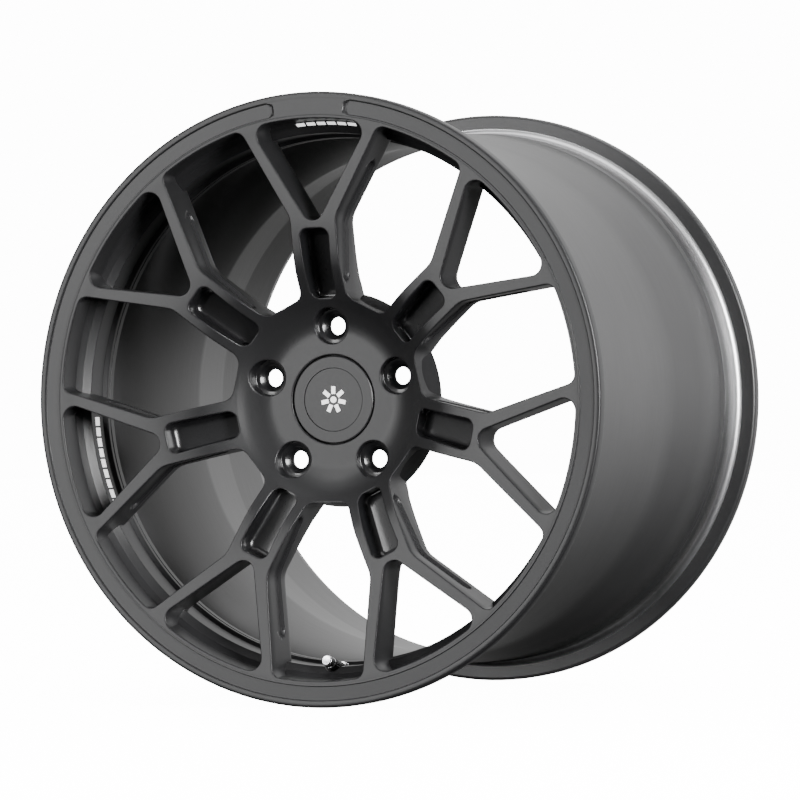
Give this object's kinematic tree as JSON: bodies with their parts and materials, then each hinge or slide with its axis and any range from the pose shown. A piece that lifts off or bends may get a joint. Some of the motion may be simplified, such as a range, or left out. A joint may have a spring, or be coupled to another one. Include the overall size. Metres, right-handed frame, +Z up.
{
  "type": "racing wheel rim",
  "caption": "Deep forged racing wheel rim with Y-shaped spokes, a wide barrel, a pop-out centre cap and a metal tyre valve.",
  "frame": {"origin": "middle of the rim's width on its axis of rotation", "axes": "Y is the axis of rotation with the outboard face towards -Y and the car's hub towards +Y; +Z is up through one spoke, with the valve at the bottom"},
  "size_m": [0.4966, 0.381, 0.4966],
  "materials": {
    "face_paint": "satin black paint over forged aluminium",
    "barrel_paint": "satin black paint over machined aluminium, bare knurled rear bead seat",
    "cap_plastic": "satin black moulded plastic",
    "badge_metal": "satin black anodised disc",
    "emblem_white": "white filled enamel",
    "spring_steel": "bright spring wire",
    "valve_black": "black nickel plated brass",
    "valve_bright": "bright nickel plate",
    "core_brass": "plain machined brass",
    "rubber": "matt black rubber"
  },
  "bodies": {
    "wheel": {"hub_centre": "face_paint", "y_spoke_1": "face_paint", "y_spoke_2": "face_paint", "y_spoke_3": "face_paint", "y_spoke_4": "face_paint", "y_spoke_5": "face_paint", "y_spoke_6": "face_paint", "y_spoke_7": "face_paint", "outer_lip": "face_paint", "inner_barrel": "barrel_paint", "valve_stem": "valve_black", "valve_stem_thread": "valve_black", "valve_grommet": "rubber", "valve_washer": "valve_bright", "valve_nut": "valve_bright", "valve_core_body": "core_brass", "valve_core_spring": "spring_steel"},
    "centre_cap": {"centre_cap": "cap_plastic", "cap_badge": "badge_metal", "cap_emblem": "emblem_white", "cap_spring_ring": "spring_steel"},
    "valve_cap_seal": {"valve_cap_seal": "rubber"},
    "valve_cap": {"valve_cap": "valve_bright"},
    "valve_core_pin": {"valve_core_pin": "core_brass", "valve_core_seal": "rubber"}
  },
  "joints": [
    {"name": "centre_cap_pull", "type": "slide", "parent": "wheel", "child": "centre_cap", "axis": [0, -1, 0], "range_m": [0, 0.04]},
    {"name": "valve_cap_travel", "type": "slide", "parent": "wheel", "child": "valve_cap_seal", "axis": [0, -0.9563, 0.2924], "range_m": [0, 0.00635]},
    {"name": "valve_cap_unscrew", "type": "hinge", "parent": "valve_cap_seal", "child": "valve_cap", "pos_m": [0, -0.1715, -0.2105], "axis": [0, -0.9563, 0.2924], "range_deg": [0, 2890]},
    {"name": "valve_core_press", "type": "slide", "parent": "wheel", "child": "valve_core_pin", "axis": [0, 0.9563, -0.2924], "range_m": [0, 0.0012], "stiffness_N_per_m": 600, "springref_m": -0.001, "deforming": ["valve_core_spring"]}
  ],
  "couplings": [
    {"joint": "valve_cap_unscrew", "follows": "valve_cap_travel", "rad_per_m": 7915.8}
  ]
}
